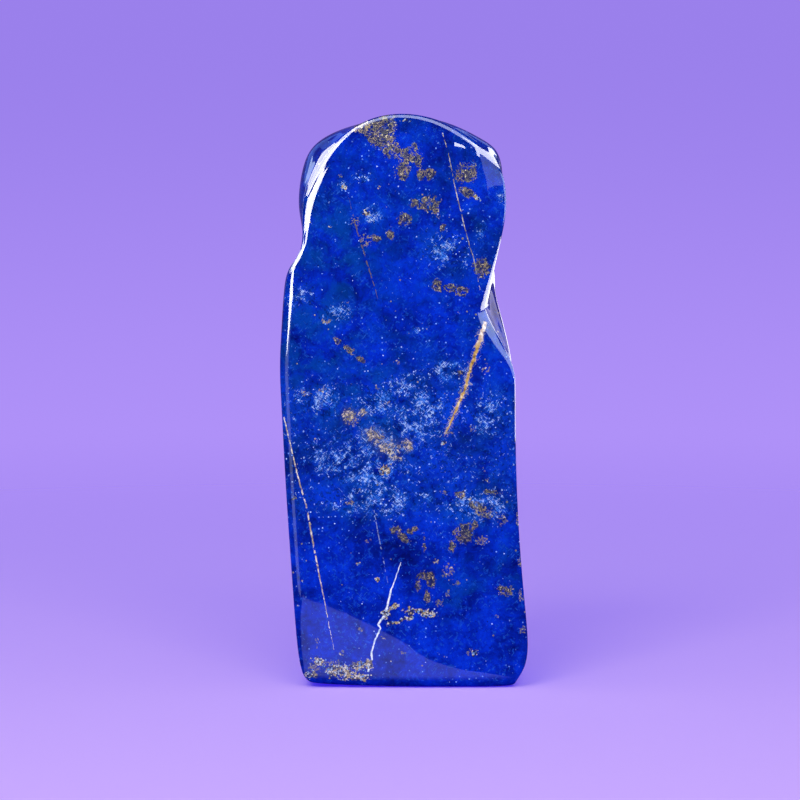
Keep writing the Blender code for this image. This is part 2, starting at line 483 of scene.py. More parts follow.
# %% Node helpers
def plug(tree, socket, value):
    """Link an output into the socket, or set a plain value on it."""
    if isinstance(value, bpy.types.NodeSocket):
        tree.links.new(value, socket)
    else:
        socket.default_value = (*value, 1.0) if socket.type == "RGBA" else value


def add(tree, kind, inputs=None, **settings):
    """Make one shader node with these settings and inputs."""
    node = tree.nodes.new("ShaderNode" + kind)
    for name, value in settings.items():
        setattr(node, name, value)
    for name, value in (inputs or {}).items():
        plug(tree, node.inputs[name], value)
    return node


def sums(tree, operation, *values):
    """Arithmetic on numbers."""
    node = add(tree, "Math", operation=operation)
    for socket, value in zip(node.inputs, values):
        plug(tree, socket, value)
    return node.outputs[0]


def times(tree, first, second):
    """Two numbers or masks multiplied."""
    return sums(tree, "MULTIPLY", first, second)


def vectors(tree, operation, *values):
    """Arithmetic on places."""
    node = add(tree, "VectorMath", operation=operation)
    for socket, value in zip(node.inputs, values):
        plug(tree, socket, value)
    return node.outputs["Value" if operation == "LENGTH" else "Vector"]


def shifted(tree, place, *step):
    """The place moved by this step, so that a texture isn't the same one again."""
    return vectors(tree, "ADD", place, step)


def scaled(tree, place, factor):
    """A place multiplied by one number."""
    return add(tree, "VectorMath", {0: place, "Scale": factor}, operation="SCALE").outputs["Vector"]


def turned(tree, place, degrees, centre):
    """A place turned about a level axis through this centre, as seen from the front."""
    return add(tree, "VectorRotate", {"Vector": place, "Center": centre,
                                      "Angle": math.radians(degrees)},
               rotation_type="Y_AXIS").outputs[0]


def height_of(tree, place):
    """How high a place is."""
    return add(tree, "SeparateXYZ", {0: place}).outputs["Z"]


def smooth(tree, value, start, end):
    """A soft step from 0 at start to 1 at end."""
    return add(tree, "MapRange", {"Value": value, "From Min": start, "From Max": end},
               interpolation_type="SMOOTHSTEP", clamp=False).outputs["Result"]


def between(tree, value, low, high):
    """A straight blend from low to high as the value goes from 0 to 1."""
    return add(tree, "MapRange", {"Value": value, "To Min": low, "To Max": high},
               clamp=False).outputs["Result"]


def cloud(tree, place, size, detail=2.0, roughness=0.5):
    """Soft noise with clouds about this many millimetres wide."""
    return add(tree, "TexNoise", {"Vector": place, "Scale": 1.0 / size, "Detail": detail,
                                  "Roughness": roughness}).outputs[0]


def over(tree, share, below, above):
    """Paint one colour over another."""
    return add(tree, "Mix", {0: share, 6: below, 7: above}, data_type="RGBA").outputs[2]


def painted(tree, below, mask, strength, tint):
    """Paint a tint over a colour where the mask is, this strongly."""
    return over(tree, times(tree, mask, strength), below, tint)


def tinted(tree, value, start, end, dark, light):
    """A soft step from one colour to another."""
    return over(tree, smooth(tree, value, start, end), dark, light)


def ramp(tree, value, steps, interpolation="LINEAR"):
    """The colour of the value on a ramp with these places and colours."""
    node = add(tree, "ValToRGB", {"Fac": value})
    node.color_ramp.interpolation = interpolation
    bands = node.color_ramp.elements
    for index, (position, tint) in enumerate(steps):
        band = bands.new(position) if index > 1 else bands[index]
        band.position, band.color = position, (*tint, 1.0)
    return node.outputs["Color"]


print("node helpers are ready")

# %% [markdown]
# Effects as node groups
#
# Three effects return in many places. Strokes are short straight needles, specks are round
# grains and curls are the crooked walls of a net. Each is one group that puts out a mask.

# %% Three groups
NEEDLE_LEANS = (48.0, 0.0), (-40.0, 3100.0)
GRAIN_RADII, GRAIN_EDGE = (0.10, 0.26), (1.15, 0.75)


def new_group(name, *numbers):
    """A group that takes a place and these numbers, and puts out a mask."""
    group = bpy.data.node_groups.new(name, "ShaderNodeTree")
    group.interface.new_socket("Place", in_out="INPUT", socket_type="NodeSocketVector")
    for number in numbers:
        group.interface.new_socket(number, in_out="INPUT", socket_type="NodeSocketFloat")
    group.interface.new_socket("Mask", in_out="OUTPUT", socket_type="NodeSocketFloat")
    source = group.nodes.new("NodeGroupInput")
    sink = group.nodes.new("NodeGroupOutput")
    return group, source.outputs, sink.inputs["Mask"]


def strokes_group():
    """Needles in two crossing directions; Share says how much of the rock they take."""
    group, given, mask = new_group("Strokes", "Length", "Width", "Share")
    stretch = add(group, "CombineXYZ", {"X": given["Length"], "Y": given["Width"],
                                        "Z": given["Width"]}).outputs[0]
    limit = between(group, given["Share"], 0.80, 0.50)
    lines = []
    for lean, shift in NEEDLE_LEANS:
        leant = turned(group, given["Place"], lean, (0.0, 0.0, shift))
        value = cloud(group, vectors(group, "DIVIDE", leant, stretch), 1.0, 1.0)
        lines.append(smooth(group, sums(group, "SUBTRACT", value, limit), 0.0, 0.06))
    plug(group, mask, sums(group, "MAXIMUM", *lines))
    return group


def specks_group():
    """Round grains of mixed size; Share is the part of the cells that has one."""
    group, given, mask = new_group("Specks", "Spacing", "Share")
    scale = sums(group, "DIVIDE", 1.0, given["Spacing"])
    cells = add(group, "TexVoronoi", {"Vector": given["Place"], "Scale": scale})
    random = add(group, "SeparateColor", {"Color": cells.outputs["Color"]}).outputs
    radius = between(group, random["Green"], *GRAIN_RADII)
    inside = smooth(group, sums(group, "DIVIDE", cells.outputs["Distance"], radius), *GRAIN_EDGE)
    chosen = sums(group, "LESS_THAN", random["Red"], given["Share"])
    plug(group, mask, times(group, inside, chosen))
    return group


def curls_group():
    """Crooked worms: thin walls between soft clouds; Share says how much of them is left."""
    group, given, mask = new_group("Curls", "Size", "Thickness", "Share")
    scale = sums(group, "DIVIDE", 1.0, given["Size"])
    value = add(group, "TexNoise", {"Vector": given["Place"], "Scale": scale, "Detail": 1.0,
                                    "Distortion": 0.5}).outputs[0]
    off = sums(group, "ABSOLUTE", sums(group, "SUBTRACT", value, 0.5))
    wall = smooth(group, off, given["Thickness"], 0.0)
    aside = shifted(group, given["Place"], 31.0, 57.0, 83.0)
    pieces = add(group, "TexNoise", {"Vector": aside, "Scale": scale, "Detail": 1.0}).outputs[0]
    spare = sums(group, "SUBTRACT", between(group, given["Share"], 0.26, 0.74), pieces)
    plug(group, mask, times(group, wall, smooth(group, spare, -0.02, 0.03)))
    return group


STROKES, SPECKS, CURLS = strokes_group(), specks_group(), curls_group()


def use(tree, group, *values):
    """Place a group in a material; returns its mask."""
    node = add(tree, "Group", node_tree=group)
    for socket, value in zip(node.inputs, values):
        plug(tree, socket, value)
    return node.outputs["Mask"]


print("groups:", [group.name for group in (STROKES, SPECKS, CURLS)])

# %% [markdown]
# Where the minerals are
#
# Each mineral has a list of patches on the polished face, read off the photograph. A patch is a
# place across and up and two half sizes, in millimetres. Where it leans, a turn in degrees comes
# last.

# %% Pyrite patches
PYRITE = [
    (-9.8, 175.1, 6.3, 2.4, 15), (-5.2, 176.3, 2.5, 4.4), (-7.0, 171.9, 4.7, 2.5, 20),
    (-3.8, 169.1, 2.8, 2.5), (0.7, 167.3, 4.1, 2.2, 10), (3.0, 168.5, 1.4, 2.8),
    (4.4, 165.5, 1.3, 1.9), (-0.6, 162.3, 2.2, 2.2), (-0.2, 164.6, 1.4, 1.6),
    (5.3, 161.4, 1.6, 1.6), (7.8, 161.6, 1.7, 1.7), (19.2, 161.8, 3.3, 3.0),
    (19.5, 155.9, 2.5, 1.4, 20), (8.1, 152.3, 2.5, 2.5), (3.0, 152.3, 1.6, 1.3),
    (5.8, 151.3, 2.5, 0.9, 10), (10.1, 149.5, 0.9, 1.6, -20), (12.2, 144.9, 0.9, 1.3),
    (-4.3, 142.7, 1.3, 1.6), (24.1, 132.6, 2.5, 3.0), (10.1, 126.9, 1.6, 1.9),
    (14.0, 126.2, 2.0, 1.4, 15), (17.9, 124.8, 2.0, 1.4, 30), (-20.9, 109.5, 1.6, 0.9, 40),
    (-17.0, 106.6, 2.0, 1.1, 40), (-13.6, 103.5, 1.6, 0.9, 40), (18.7, 48.9, 2.8, 2.8),
    (20.7, 51.1, 2.4, 1.3, -35), (15.1, 45.3, 1.1, 1.7), (-2.8, 49.9, 1.7, 1.4),
    (-0.2, 47.6, 2.0, 1.1, 40), (1.8, 49.6, 0.9, 0.9), (3.2, 50.6, 1.1, 0.8),
    (6.9, 35.5, 2.8, 1.4, 10), (8.4, 33.4, 1.3, 1.6), (4.3, 32.4, 0.9, 1.6), (7.2, 29.1, 1.1, 1.9),
    (31.5, 30.9, 2.2, 1.4, 30), (22.2, 57.9, 2.8, 1.3, 25), (17.6, 61.1, 1.6, 1.1),
    (27.3, 61.8, 2.8, 0.7, 5), (0.1, 147.4, 2.1, 1.9), (17.4, 99.2, 0.9, 1.0),
    (6.4, 45.6, 0.35, 3.0, -3), (-8.8, 141.5, 1.6, 1.0, 10),
]
FLECKS = [
    (-11.7, 141.0, 4.1, 2.8), (-15.3, 146.6, 2.2, 2.8), (-23.5, 145.1, 1.3, 0.9),
    (-20.1, 160.9, 0.9, 0.9), (-8.0, 157.3, 1.3, 0.9), (-24.8, 115.4, 2.8, 1.6),
    (-17.6, 121.5, 0.9, 0.9), (-2.3, 102.7, 1.9, 1.3), (25.6, 100.7, 2.2, 2.2),
    (-30.8, 93.1, 2.8, 2.2), (-25.3, 93.9, 2.5, 1.6), (-8.7, 94.9, 1.3, 1.3),
    (-5.3, 90.0, 1.9, 0.9), (14.3, 80.6, 1.9, 1.6), (21.6, 82.1, 1.6, 1.6), (18.2, 93.4, 3.1, 2.2),
    (25.1, 68.9, 0.9, 1.3), (26.1, 65.5, 1.3, 1.3), (12.4, 62.0, 1.6, 0.9), (-17.0, 58.6, 2.2, 1.3),
    (25.3, 55.7, 5.7, 3.8), (31.0, 53.2, 2.8, 2.5), (24.4, 46.9, 4.4, 2.5), (-11.5, 46.6, 1.9, 1.1),
    (10.0, 40.1, 1.3, 1.6), (10.9, 27.4, 2.5, 2.5), (13.7, 29.9, 1.9, 1.9), (16.6, 33.0, 1.9, 1.6),
    (36.6, 29.3, 1.3, 3.8), (37.0, 18.4, 1.6, 2.2), (36.4, 40.5, 1.3, 3.8), (35.4, 53.1, 0.9, 3.8),
    (29.1, 22.6, 1.3, 1.3), (-14.0, 18.6, 1.9, 1.3), (-27.3, 15.0, 1.6, 2.8),
    (-19.7, 11.4, 1.9, 1.6), (-6.4, 16.0, 1.3, 0.9), (-0.2, 11.4, 1.9, 0.9),
    (-16.4, 85.0, 3.8, 3.8), (20.7, 11.6, 1.6, 1.6), (-34.5, 60.0, 1.6, 1.4),
    (-28.5, 6.5, 3.2, 3.0), (-22.5, 8.0, 4.5, 2.2), (-14.5, 7.5, 4.2, 2.6), (14.0, 37.0, 4.0, 4.0),
    (33.5, 31.0, 1.2, 3.0),
]
print(len(PYRITE), "pyrite patches and", len(FLECKS), "fields of flecks")

# %% Pale patches and tints
FROST = [
    (5.9, 88.7, 8.2, 10.0), (26.8, 85.3, 6.3, 7.5), (-7.6, 89.4, 8.2, 6.3), (-6.1, 76.2, 12.6, 9.4),
    (-27.0, 90.9, 8.8, 5.7), (-21.7, 72.7, 10.7, 6.3), (-7.6, 59.5, 14.4, 5.7),
    (-5.4, 69.0, 3.5, 4.1), (-20.7, 118.5, 5.0, 3.1), (-32.6, 122.8, 4.7, 3.8),
    (13.3, 137.8, 7.5, 5.3, 25), (3.7, 112.5, 2.8, 0.9, -25), (-12.9, 160.6, 2.8, 2.2),
    (-19.1, 157.5, 2.5, 1.6), (-10.1, 148.8, 3.5, 2.5, 20), (-23.3, 57.6, 4.4, 1.6),
    (23.1, 57.9, 12.6, 5.0), (6.5, 60.5, 6.9, 1.9, 10), (30.8, 155.0, 1.6, 2.5),
    (23.6, 144.1, 1.3, 2.5), (14.3, 100.3, 6.3, 4.4), (1.0, 94.0, 9.0, 6.0), (3.0, 82.5, 10.0, 6.0),
    (-12.0, 67.5, 9.0, 5.0),
]
GOLD_HEART = [
    (-9.2, 79.6, 4.6, 3.2, 20), (-4.9, 76.2, 5.0, 3.2), (0.8, 76.8, 2.4, 2.6),
    (-2.9, 72.7, 2.5, 1.3), (-17.5, 86.0, 2.5, 2.8), (-13.1, 87.0, 2.2, 1.9),
]
CHIPS = [
    (-3.3, 26.0, 1.6, 0.9), (-5.6, 23.6, 1.4, 1.6), (1.8, 24.2, 1.7, 1.6), (4.3, 24.6, 1.9, 0.8),
    (7.1, 23.7, 2.5, 1.1, -5), (-3.2, 20.9, 2.8, 0.5, -12), (0.8, 22.2, 2.2, 0.6, -10),
    (-26.8, 8.7, 1.9, 1.3), (-29.4, 4.4, 2.2, 1.1), (-22.2, 5.6, 2.8, 1.9), (-18.3, 4.9, 2.8, 2.2),
    (-14.2, 7.2, 2.8, 1.3, -10), (-13.6, 3.7, 2.8, 1.3), (-11.0, 7.8, 1.3, 1.6),
    (-8.4, 34.5, 0.5, 0.9, 20), (22.2, 11.4, 0.9, 0.9), (-18.8, 157.5, 0.9, 0.8),
    (-11.8, 149.5, 1.3, 0.8, 30), (-4.5, 74.6, 0.9, 0.9), (-6.1, 68.7, 1.6, 1.6),
    (-14.5, 39.7, 0.5, 0.5), (12.3, 77.4, 0.7, 0.6), (0.3, 178.2, 1.3, 0.5),
    (22.3, 154.3, 1.2, 0.8, 30),
]
TEAL = [
    (-24.8, 137.8, 15.7, 17.3), (-27.9, 111.3, 12.6, 15.7), (-10.1, 89.4, 16.3, 11.9),
    (23.7, 57.0, 13.2, 8.2), (15.9, 31.2, 11.0, 9.4), (32.6, 40.6, 5.0, 15.7),
    (4.9, 150.3, 7.8, 4.4), (-12.3, 59.5, 18.8, 6.9),
]
NAVY = [
    (-1.4, 43.2, 8.2, 5.0, 20), (1.2, 33.7, 5.7, 4.4), (-18.6, 83.1, 5.0, 3.8),
    (-7.6, 175.2, 9.4, 3.1), (20.6, 78.4, 6.3, 4.4), (-1.4, 137.9, 5.7, 3.8),
    (-17.0, 122.2, 6.3, 4.4), (-32.8, 15.3, 3.8, 7.8), (20.5, 145.6, 5.0, 3.1),
    (-22.0, 153.0, 8.0, 9.0), (-12.0, 152.0, 5.0, 3.0),
]
COBALT = [
    (1.5, 131.0, 10.0, 9.0), (-19.0, 171.0, 7.0, 4.0, 30), (4.0, 172.5, 7.0, 5.0),
    (-20.0, 35.0, 8.0, 7.0),
]
print(len(FROST), "pale fields,", len(CHIPS), "chips,", len(TEAL + NAVY + COBALT), "tints")

# %% [markdown]
# Places in the rock
#
# Everything is painted in millimetres inside the stone, so the markings go on around its edges.
# The patches are counted from the polished face inwards. The back isn't in the photograph. It
# takes the same patches upside down, as a stand-in that looks like the same rock.

# %% Coordinates
PATCH_DEPTH = 8.0
TURN_HEIGHT = 176.0


def rock_places(tree):
    """The plain place in millimetres, and the place counted inwards from the face or the back."""
    place = scaled(tree, add(tree, "TexCoord").outputs["Object"], 1.0 / MM)
    x, y, z = add(tree, "SeparateXYZ", {0: place}).outputs
    front = sums(tree, "MULTIPLY_ADD", z, FRONT_LEAN, FRONT_AT_BASE)
    back = sums(tree, "MULTIPLY_ADD", z, -BACK_LEAN, BACK_AT_BASE)
    depth = sums(tree, "SUBTRACT", y, front)
    from_front = add(tree, "CombineXYZ", {0: x, 1: depth, 2: z}).outputs[0]
    from_back = add(tree, "CombineXYZ", {
        0: times(tree, x, -1.0), 1: sums(tree, "SUBTRACT", back, y),
        2: sums(tree, "SUBTRACT", TURN_HEIGHT, z)}).outputs[0]
    behind = sums(tree, "GREATER_THAN", depth, sums(tree, "SUBTRACT", back, y))
    inward = add(tree, "Mix", {0: behind, 4: from_front, 5: from_back}, data_type="VECTOR")
    return place, inward.outputs[1]


def stirred(tree, place, size, amount):
    """The place pushed about by a cloud, which makes ragged edges."""
    noise = cloud(tree, place, size).node.outputs["Color"]
    parts = add(tree, "SeparateColor", {0: noise}).outputs
    push = add(tree, "CombineXYZ", {0: parts[0], 1: parts[1], 2: parts[2]}).outputs[0]
    centred = vectors(tree, "SUBTRACT", push, (0.5, 0.5, 0.5))
    return vectors(tree, "ADD", place, scaled(tree, centred, amount))


def nearest(tree, place, patches):
    """How near the closest patch is: 0 in its middle, 1 at its edge."""
    least = None
    for x, z, half_x, half_z, *turn in patches:
        shrink = Vector((1.0 / half_x, 1.0 / PATCH_DEPTH, 1.0 / half_z))
        shift = -shrink * Vector((x, 0.0, z))
        level = turned(tree, place, -turn[0], (x, 0.0, z)) if turn else place
        away = vectors(tree, "LENGTH", vectors(tree, "MULTIPLY_ADD", level, shrink, shift))
        least = away if least is None else sums(tree, "MINIMUM", least, away)
    return least


def bitten(tree, near, place, size, bite):
    """How near a patch is, with its edge bitten by a cloud."""
    rough = cloud(tree, place, size, 2.0, 0.6)
    return sums(tree, "MULTIPLY_ADD", rough, -bite, sums(tree, "ADD", near, bite / 2.0))


print("patches reach", PATCH_DEPTH, "mm into the stone")

# %% [markdown]
# Blue rock
#
# Lazurite is never one blue. Wide clouds mix navy, ultramarine and a greener cobalt, and a finer
# layer breaks them up. Faint needles and pale grains lie everywhere.

# %% The blue
BLUES = [(0.35, (0.0004, 0.003, 0.10)), (0.43, (0.0006, 0.009, 0.21)),
         (0.50, (0.0008, 0.016, 0.33)), (0.57, (0.001, 0.024, 0.47)),
         (0.67, (0.002, 0.042, 0.58))]
WORM_BLUE, THREAD_BLUE, SPOT_NAVY = (0.010, 0.090, 0.50), (0.03, 0.16, 0.58), (0.001, 0.004, 0.15)
GREENER_BLUE, GREENER_HEIGHTS = (0.001, 0.052, 0.28), (25.0, 100.0)
WANDER = 9.0, 7.0
WIDE_SHARE = 0.55
TINT_EDGE = 1.3, 0.3


def blue_rock(tree, place, inward):
    """Clouds of blue with worms, threads and dark spots."""
    flow = stirred(tree, place, *WANDER)
    wide = cloud(tree, flow, 16.0, 5.0, 0.62)
    fine = cloud(tree, flow, 3.4, 5.0, 0.68)
    spread = stirred(tree, inward, *WANDER)
    tone = sums(tree, "MULTIPLY_ADD", wide, WIDE_SHARE, times(tree, fine, 1.0 - WIDE_SHARE))
    for patches, change in ((NAVY, -0.08), (COBALT, 0.06)):
        near = smooth(tree, nearest(tree, spread, patches), *TINT_EDGE)
        tone = sums(tree, "MULTIPLY_ADD", near, change, tone)
    blue = ramp(tree, tone, BLUES)

    hazy = smooth(tree, nearest(tree, spread, TEAL), 1.35, 0.5)
    high = smooth(tree, height_of(tree, inward), *GREENER_HEIGHTS)
    greener = sums(tree, "MULTIPLY_ADD", hazy, 0.42, times(tree, high, 0.24))
    uneven = smooth(tree, cloud(tree, flow, 7.0, 4.0, 0.6), 0.40, 0.62)
    blue = painted(tree, blue, greener, uneven, GREENER_BLUE)

    share = between(tree, cloud(tree, place, 11.0, 3.0), 0.05, 0.62)
    blue = painted(tree, blue, use(tree, CURLS, place, 1.5, 0.075, share), 0.50, WORM_BLUE)
    blue = painted(tree, blue, use(tree, STROKES, place, 2.1, 0.42, share), 0.40, THREAD_BLUE)
    spots = use(tree, CURLS, shifted(tree, place, 17.0, 3.0, 5.0), 1.1, 0.10,
                between(tree, fine, 0.15, 0.75))
    return painted(tree, blue, spots, 0.38, SPOT_NAVY)


print(len(BLUES), "blues from", BLUES[0][1], "to", BLUES[-1][1])

# %% [markdown]
# Pale fields
#
# Where calcite is mixed finely with the blue, the photograph shows frost: short crossing needles
# and bright grains with dark gaps. The heart of the stone has pyrite dust in it and looks gold.

# %% Frost and grains
GAP_NAVY, SOFT_FROST = (0.001, 0.005, 0.075), (0.008, 0.10, 0.50)
FROST_SHADE, FROST_LIGHT = (0.04, 0.19, 0.68), (0.36, 0.52, 0.80)
DOT_WHITE, GRAIN_BLUE = (0.46, 0.64, 1.0), (0.20, 0.42, 1.0)
BELT_FOOT, BELT_HEAD, BELT_SHARE = (46.0, 60.0), (104.0, 90.0), 0.42


def frosted(tree, blue, place, inward):
    """Pale worms, needles and grains over the blue, in patches and a faint belt around them."""
    loose = stirred(tree, inward, 6.0, 5.0)
    field = smooth(tree, nearest(tree, loose, FROST), 1.7, 0.2)
    height = height_of(tree, loose)
    belt = times(tree, smooth(tree, height, *BELT_FOOT), smooth(tree, height, *BELT_HEAD))
    field = sums(tree, "MAXIMUM", field, times(tree, belt, BELT_SHARE))
    broken = times(tree, field, smooth(tree, cloud(tree, place, 3.4), 0.26, 0.60))
    gaps = use(tree, CURLS, shifted(tree, place, 9.0, 9.0, 9.0), 1.2, 0.14,
               between(tree, field, 0.0, 0.8))
    blue = painted(tree, blue, gaps, 0.75, GAP_NAVY)
    blue = painted(tree, blue, broken, 0.30, SOFT_FROST)
    pale = tinted(tree, cloud(tree, place, 0.9, 0.0), 0.38, 0.66, FROST_SHADE, FROST_LIGHT)
    worms = use(tree, CURLS, place, 1.25, 0.062, between(tree, broken, -0.05, 0.60))
    blue = painted(tree, blue, worms, 0.85, pale)
    needles = use(tree, STROKES, place, 2.1, 0.24, between(tree, broken, -0.08, 0.84))
    blue = painted(tree, blue, needles, 0.85, pale)

    dots = use(tree, SPECKS, place, 0.95, between(tree, broken, 0.02, 0.26))
    blue = painted(tree, blue, dots, 0.9, DOT_WHITE)
    grains = use(tree, SPECKS, shifted(tree, place, 50.0, 0.0, 0.0), 1.05, 0.18)
    bright = smooth(tree, cloud(tree, place, 1.7, 1.0), 0.38, 0.66)
    return painted(tree, blue, grains, between(tree, bright, 0.22, 0.90), GRAIN_BLUE)


print("the pale belt runs from", BELT_FOOT[0], "to", BELT_HEAD[0], "mm up")

# %% The gold heart
DUST_SHADE, DUST_LIGHT, HEART_SLATE = (0.18, 0.155, 0.11), (0.62, 0.55, 0.40), (0.045, 0.07, 0.17)


def gold_dusted(tree, rock, place, inward):
    """Pyrite dust and straws on a greyer ground."""
    heart = smooth(tree, nearest(tree, stirred(tree, inward, 2.2, 3.4), GOLD_HEART), 1.35, 0.2)
    aside = shifted(tree, place, 0.0, 0.0, 40.0)
    dust = use(tree, CURLS, aside, 1.2, 0.09, between(tree, heart, -0.3, 1.0))
    straws = use(tree, STROKES, aside, 2.4, 0.24, between(tree, heart, -0.25, 0.80))
    tan = tinted(tree, cloud(tree, place, 0.8, 1.0), 0.40, 0.64, DUST_SHADE, DUST_LIGHT)
    rock = painted(tree, rock, heart, 0.55, HEART_SLATE)
    return over(tree, sums(tree, "MAXIMUM", dust, straws), rock, tan)


print(len(GOLD_HEART), "patches make the gold heart")

# %% [markdown]
# Pyrite
#
# Polished pyrite is a net of brassy grains with dark crevices between them, and its small cream
# spots are painted glints. The patches get ragged edges from fine clouds, and smaller flecks
# scatter in the fields around them.

# %% Pyrite and flecks
OLIVE, BRASS, PAINTED_GLINT = (0.16, 0.155, 0.075), (0.28, 0.215, 0.10), (0.62, 0.55, 0.34)
CREVICE_NAVY, CREVICE_GREY = (0.014, 0.018, 0.060), (0.050, 0.046, 0.056)


def pyrite(tree, place, inward):
    """The masks of the pyrite and of its flecks, the colour of its net, and the brassy colour with
    its painted glints on its own.
    """
    near = nearest(tree, stirred(tree, inward, 2.4, 1.8), PYRITE)
    spikes = use(tree, STROKES, place, 1.25, 0.36, 0.72)
    edge = bitten(tree, near, place, 1.5, 1.5)
    body = smooth(tree, sums(tree, "MULTIPLY_ADD", spikes, -0.22, edge), 1.04, 0.92)
    net = use(tree, CURLS, place, 1.05, 0.085, 0.88)
    filled = times(tree, smooth(tree, cloud(tree, place, 2.1), 0.34, 0.50), 0.88)
    body = times(tree, body, sums(tree, "MAXIMUM", net, filled))
    brass_and_glints = tinted(tree, cloud(tree, place, 2.6, 1.0), 0.40, 0.62, OLIVE, BRASS)
    # Cream spots on the brass are painted glints.
    brass_and_glints = over(tree, smooth(tree, cloud(tree, place, 0.75, 0.0), 0.60, 0.76), brass_and_glints, PAINTED_GLINT)
    crevice = tinted(tree, cloud(tree, place, 1.3, 1.0), 0.40, 0.58, CREVICE_NAVY, CREVICE_GREY)
    netted = over(tree, net, crevice, brass_and_glints)

    field = smooth(tree, nearest(tree, stirred(tree, inward, 2.0, 2.2), FLECKS), 1.3, 0.2)
    flecks = use(tree, CURLS, shifted(tree, place, 3.0, 13.0, 23.0), 0.80, 0.13,
                 between(tree, field, -0.45, 0.66))
    strays = use(tree, SPECKS, shifted(tree, place, 0.0, 70.0, 0.0), 1.4, 0.035)
    return body, sums(tree, "MAXIMUM", flecks, strays), netted, brass_and_glints


print("pyrite is ready")

# %% [markdown]
# Healed cracks
#
# A crack through the rock is a sheet, so it shows as a thin line wherever the polish cuts it.
# Each one is a path up the stone, drawn with a curve, and a half width that changes along it.

# %% The paths of the cracks
GOLD_CRACK = [(12.4, 79.2, 0.0), (13.5, 81.4, 0.24), (14.6, 84.0, 0.34), (17.8, 91.6, 0.48),
              (19.0, 94.4, 0.4), (20.2, 99.4, 0.52), (22.1, 105.0, 0.6), (23.7, 110.0, 0.68),
              (25.3, 115.3, 0.64)]
UPPER_CRACK = [(23.7, 125.3, 0.06), (21.8, 134.7, 0.14), (19.6, 141.9, 0.16), (16.1, 156.2, 0.16),
               (13.9, 167.4, 0.13), (11.6, 175.5, 0.12)]
BROWN_CRACK = [(-7.9, 121.3, 0.0), (-9.5, 127.2, 0.18), (-12.0, 135.0, 0.2), (-14.8, 144.1, 0.2),
               (-17.7, 155.3, 0.0)]
LEFT_CRACK = [(-22.1, 12.2, 0.05), (-23.7, 20.1, 0.09), (-24.9, 26.7, 0.13), (-26.8, 36.2, 0.23),
              (-28.4, 44.7, 0.25), (-30.8, 57.9, 0.24), (-33.3, 66.4, 0.21), (-35.5, 76.1, 0.21),
              (-37.7, 85.5, 0.17)]
CENTRE_CRACK = [(-5.1, 33.4, 0.04), (-6.8, 41.9, 0.16), (-8.3, 49.5, 0.16), (-9.8, 58.0, 0.08)]
WHITE_CRACK = [(-11.4, 5.3, 0.34), (-10.2, 9.4, 0.28), (-10.2, 11.9, 0.22), (-9.3, 15.1, 0.23),
               (-7.4, 19.2, 0.25), (-8.2, 20.4, 0.37), (-6.1, 23.3, 0.46), (-5.4, 25.8, 0.34),
               (-4.3, 30.6, 0.25), (-1.0, 40.0, 0.10)]
CRACK_FADE = 14.0, 9.0
LEAST_REACH = 0.01


def curve(tree, value, points):
    """The height of a line of straight pieces at this value."""
    node = add(tree, "FloatCurve", {"Value": value})
    line = node.mapping.curves[0].points
    for index, place in enumerate(points):
        point = line[index] if index < 2 else line.new(*place)
        point.location = place
        point.handle_type = "VECTOR"
    node.mapping.update()
    return node.outputs[0]


def crack(tree, place, path, wander, broken=0.0, ragged=0.6):
    """The mask of a crack, how far away its middle is, and a mask of where it runs at all."""
    across, heights, widths = zip(*path)
    low, high = heights[0], heights[-1]
    start, span, widest = min(across), max(across) - min(across), max(widths)
    shaken = stirred(tree, stirred(tree, place, 2.6, wander), 0.8, 0.35)
    x, y, z = add(tree, "SeparateXYZ", {0: shaken}).outputs
    along = add(tree, "MapRange", {"Value": z, "From Min": low, "From Max": high},
                clamp=False).outputs[0]
    steps = [(height - low) / (high - low) for height in heights]
    way = curve(tree, along, zip(steps, [(left - start) / span for left in across]))
    width = curve(tree, along, zip(steps, [width / widest for width in widths]))
    middle = sums(tree, "MULTIPLY_ADD", way, span, start)
    away = sums(tree, "ABSOLUTE", sums(tree, "SUBTRACT", x, middle))
    reach = sums(tree, "MAXIMUM", times(tree, width, widest), LEAST_REACH)
    rough = sums(tree, "SUBTRACT", cloud(tree, place, 0.9), 0.5)
    share = sums(tree, "MULTIPLY_ADD", rough, 2.0 * ragged, sums(tree, "DIVIDE", away, reach))
    line = smooth(tree, share, 1.3, 0.6)
    here = times(tree, sums(tree, "GREATER_THAN", z, low), sums(tree, "LESS_THAN", z, high))
    here = times(tree, here, smooth(tree, y, *CRACK_FADE))
    line = times(tree, line, here)
    if broken:
        line = times(tree, line, smooth(tree, cloud(tree, place, 1.3), broken, broken + 0.08))
    return line, away, here


print("six cracks, the longest", round(LEFT_CRACK[-1][1] - LEFT_CRACK[0][1]), "mm long")

# %% Paint the cracks
BROWN, SLATE, GLINT_YELLOW = (0.13, 0.10, 0.07), (0.26, 0.34, 0.48), (0.78, 0.62, 0.34)
RIPE_FROM, RIPE_TO = 107.5, 110.5


